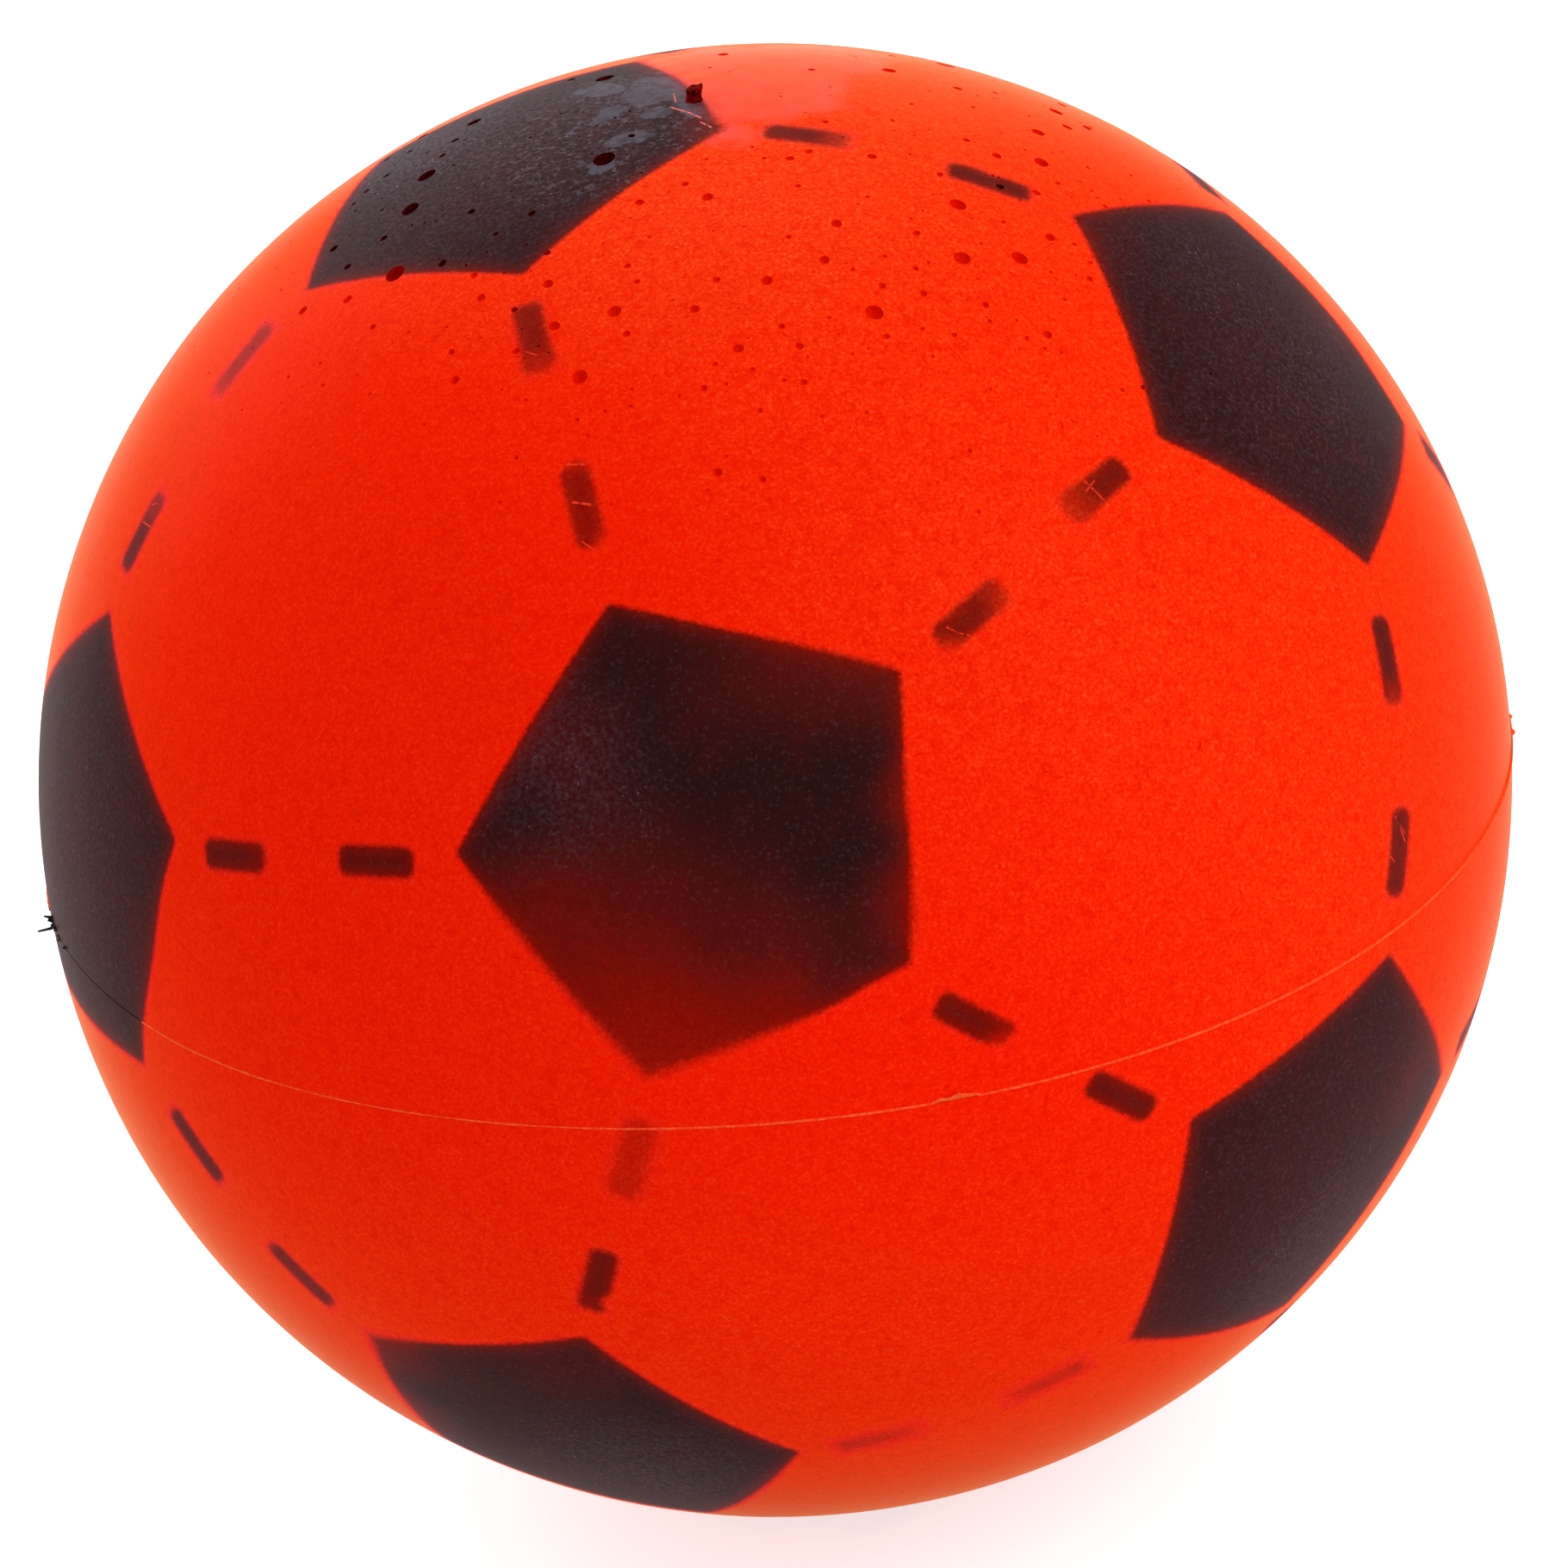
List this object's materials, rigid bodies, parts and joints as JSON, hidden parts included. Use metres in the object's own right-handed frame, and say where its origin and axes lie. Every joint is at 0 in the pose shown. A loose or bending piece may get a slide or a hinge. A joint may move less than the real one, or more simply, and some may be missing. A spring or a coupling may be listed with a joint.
{
  "type": "foam play ball",
  "caption": "Soft solid foam ball with a dense moulded skin and a printed football pattern of pentagons and dashes, for dodgeball and indoor ball games.",
  "frame": {"origin": "the middle of the ball", "axes": "+Z along the mould's opening direction, out through the vented half; the mould line lies in the plane Z = 0. -Y faces the picture's viewer, turned up by 25 degrees"},
  "size_m": [0.2014, 0.2008, 0.203],
  "materials": {
    "core_foam": "open-cell soft polyurethane foam, paler than the skin",
    "skin_foam": "matte closed skin of neon orange-red polyurethane foam with fine grain and a few burst bubbles",
    "flash_foam": "thin translucent pale orange film of foam",
    "stub_foam": "rough dark red torn foam",
    "print_ink": "soft black stencil ink, satin where thick, brown-red where thin, with blurred edges"
  },
  "bodies": {
    "root": {"foam_core": "core_foam", "upper_skin": "skin_foam", "lower_skin": "skin_foam", "parting_flash": "flash_foam", "vent_stub": "stub_foam", "pentagon_01": "print_ink", "pentagon_02": "print_ink", "pentagon_03": "print_ink", "pentagon_04": "print_ink", "pentagon_05": "print_ink", "pentagon_06": "print_ink", "pentagon_07": "print_ink", "pentagon_08": "print_ink", "pentagon_09": "print_ink", "pentagon_10": "print_ink", "pentagon_11": "print_ink", "pentagon_12": "print_ink", "dash_pair_01": "print_ink", "dash_pair_02": "print_ink", "dash_pair_03": "print_ink", "dash_pair_04": "print_ink", "dash_pair_05": "print_ink", "dash_pair_06": "print_ink", "dash_pair_07": "print_ink", "dash_pair_08": "print_ink", "dash_pair_09": "print_ink", "dash_pair_10": "print_ink", "dash_pair_11": "print_ink", "dash_pair_12": "print_ink", "dash_pair_13": "print_ink", "dash_pair_14": "print_ink", "dash_pair_15": "print_ink", "dash_pair_16": "print_ink", "dash_pair_17": "print_ink", "dash_pair_18": "print_ink", "dash_pair_19": "print_ink", "dash_pair_20": "print_ink", "dash_pair_21": "print_ink", "dash_pair_22": "print_ink", "dash_pair_23": "print_ink", "dash_pair_24": "print_ink", "dash_pair_25": "print_ink", "dash_pair_26": "print_ink", "dash_pair_27": "print_ink", "dash_pair_28": "print_ink", "dash_pair_29": "print_ink", "dash_pair_30": "print_ink"}
  },
  "joints": []
}
